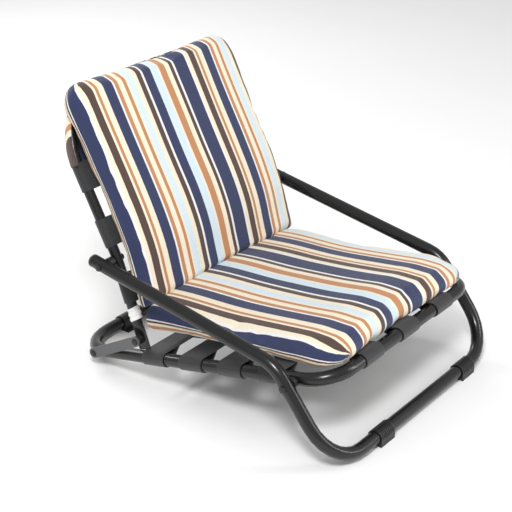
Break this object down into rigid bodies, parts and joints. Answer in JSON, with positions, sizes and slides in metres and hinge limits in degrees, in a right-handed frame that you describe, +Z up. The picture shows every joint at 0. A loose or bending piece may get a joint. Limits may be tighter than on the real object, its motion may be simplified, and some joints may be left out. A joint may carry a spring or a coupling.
{
  "type": "folding camp chair",
  "caption": "Low folding beach chair: bent black steel tube frame with armrests, linked folding back, woven bands and a striped padded cushion.",
  "frame": {"origin": "on the floor under the middle of the chair's outside box, chair open", "axes": "+X to the sitter's left, -Y the way the sitter faces, +Z up"},
  "size_m": [0.5054, 0.6202, 0.4855],
  "materials": {
    "black_steel": "semi-gloss black powder coat",
    "link_steel": "satin dark grey",
    "black_plastic": "moulded, fine grain",
    "webbing": "woven elastic",
    "striped_cloth": "woven cotton blend in lengthwise stripes",
    "white_cloth": "plain woven tape"
  },
  "bodies": {
    "seat": {"seat_ring": "black_steel", "rear_foot_right": "black_plastic", "rear_foot_left": "black_plastic", "leg_rivet_right": "black_steel", "leg_rivet_left": "black_steel", "leg_spacer_right": "black_plastic", "leg_spacer_left": "black_plastic", "seat_link_rivet_right": "black_steel", "seat_link_rivet_left": "black_steel", "seat_link_washer_right": "black_plastic", "seat_link_washer_left": "black_plastic", "seat_cross_rod": "black_steel", "seat_cross_band_1": "webbing", "seat_cross_band_2": "webbing", "seat_cross_band_3": "webbing", "seat_cross_band_4": "webbing", "seat_long_band_1": "webbing", "seat_long_band_2": "webbing", "seat_long_band_3": "webbing"},
    "arms": {"arm_leg_loop": "black_steel", "front_foot_right": "black_plastic", "front_foot_left": "black_plastic", "arm_end_plug_right": "black_plastic", "arm_end_plug_left": "black_plastic", "arm_rivet_right": "black_steel", "arm_rivet_left": "black_steel", "arm_spacer_right": "black_plastic", "arm_spacer_left": "black_plastic"},
    "links": {"link_plate_right": "link_steel", "link_plate_left": "link_steel", "back_link_rivet_right": "black_steel", "back_link_rivet_left": "black_steel", "back_link_washer_right": "black_plastic", "back_link_washer_left": "black_plastic"},
    "back": {"back_frame": "black_steel", "back_inner_head_right": "black_steel", "back_inner_head_left": "black_steel", "back_cross_band_1": "webbing", "back_cross_band_2": "webbing", "back_cross_band_3": "webbing", "back_pad": "striped_cloth", "cushion_tie_right": "white_cloth", "cushion_tie_left": "white_cloth"},
    "seat_cushion": {"seat_pad": "striped_cloth"}
  },
  "joints": [
    {"name": "link_fold", "type": "hinge", "parent": "seat", "child": "links", "pos_m": [0, 0.21552, 0.02666], "axis": [1, 0, 0], "range_deg": [-117.79, 0]},
    {"name": "back_fold", "type": "hinge", "parent": "links", "child": "back", "pos_m": [0, 0.11658, 0.08328], "axis": [1, 0, 0], "range_deg": [0, 213.85]},
    {"name": "arms_fold", "type": "hinge", "parent": "seat", "child": "arms", "pos_m": [0, -0.2082, 0.12724], "axis": [1, 0, 0], "range_deg": [-14.3, 0]},
    {"name": "cushion_slide", "type": "slide", "parent": "seat", "child": "seat_cushion", "axis": [0, 0.973, -0.231], "range_m": [0, 0.208]}
  ],
  "couplings": [
    {"joint": "back_fold", "follows": "link_fold", "ratio": -1.815},
    {"joint": "arms_fold", "follows": "link_fold", "ratio": 0.12077},
    {"joint": "cushion_slide", "follows": "link_fold", "m_per_rad": -0.10112}
  ]
}
